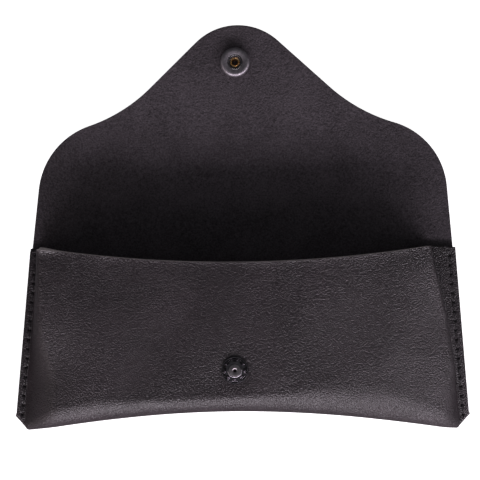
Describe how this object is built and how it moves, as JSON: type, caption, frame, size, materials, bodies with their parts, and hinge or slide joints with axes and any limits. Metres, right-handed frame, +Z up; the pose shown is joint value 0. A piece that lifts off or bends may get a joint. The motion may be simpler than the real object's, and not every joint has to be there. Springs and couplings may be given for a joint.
{
  "type": "soft pouch glasses case",
  "caption": "Soft leather pouch for spectacles with a pointed fold-over flap, stitched sides and a snap fastener, lying open on its back.",
  "frame": {"origin": "under the middle of the whole open part, on the surface it lies on", "axes": "+X across the pouch, +Y from the bottom fold to the tip of the open flap, +Z up, out of the front panel"},
  "size_m": [0.176, 0.1565, 0.0235],
  "materials": {
    "leather_smooth": "black pebbled grain with a satin sheen",
    "leather_flesh": "black matt flesh side",
    "leather_edge": "raw cut edge, dark brown-black",
    "thread": "black bonded polyester thread",
    "snap_black": "black lacquered brass, gloss",
    "spring_wire": "spring wire",
    "post_brass": "bare brass tube"
  },
  "bodies": {
    "pouch": {"back_panel": "leather_smooth", "front_panel": "leather_smooth", "seam_needle_thread_left": "thread", "seam_needle_thread_right": "thread", "seam_bobbin_thread_left": "thread", "seam_bobbin_thread_right": "thread", "snap_stud": "snap_black", "stud_post": "snap_black"},
    "flap_bridge": {"flap_bridge": "leather_flesh"},
    "flap_front": {"flap_front": "leather_flesh", "snap_socket": "snap_black", "socket_spring": "spring_wire", "snap_cap": "snap_black", "cap_post": "post_brass"}
  },
  "joints": [
    {"name": "flap_back_fold", "type": "hinge", "parent": "pouch", "child": "flap_bridge", "pos_m": [0, -0.00628, 0.00177], "axis": [1, 0, 0], "range_deg": [0, 88.1]},
    {"name": "flap_front_fold", "type": "hinge", "parent": "flap_bridge", "child": "flap_front", "pos_m": [0, 0.01631, 0.00251], "axis": [1, 0, 0], "range_deg": [0, 90]}
  ]
}
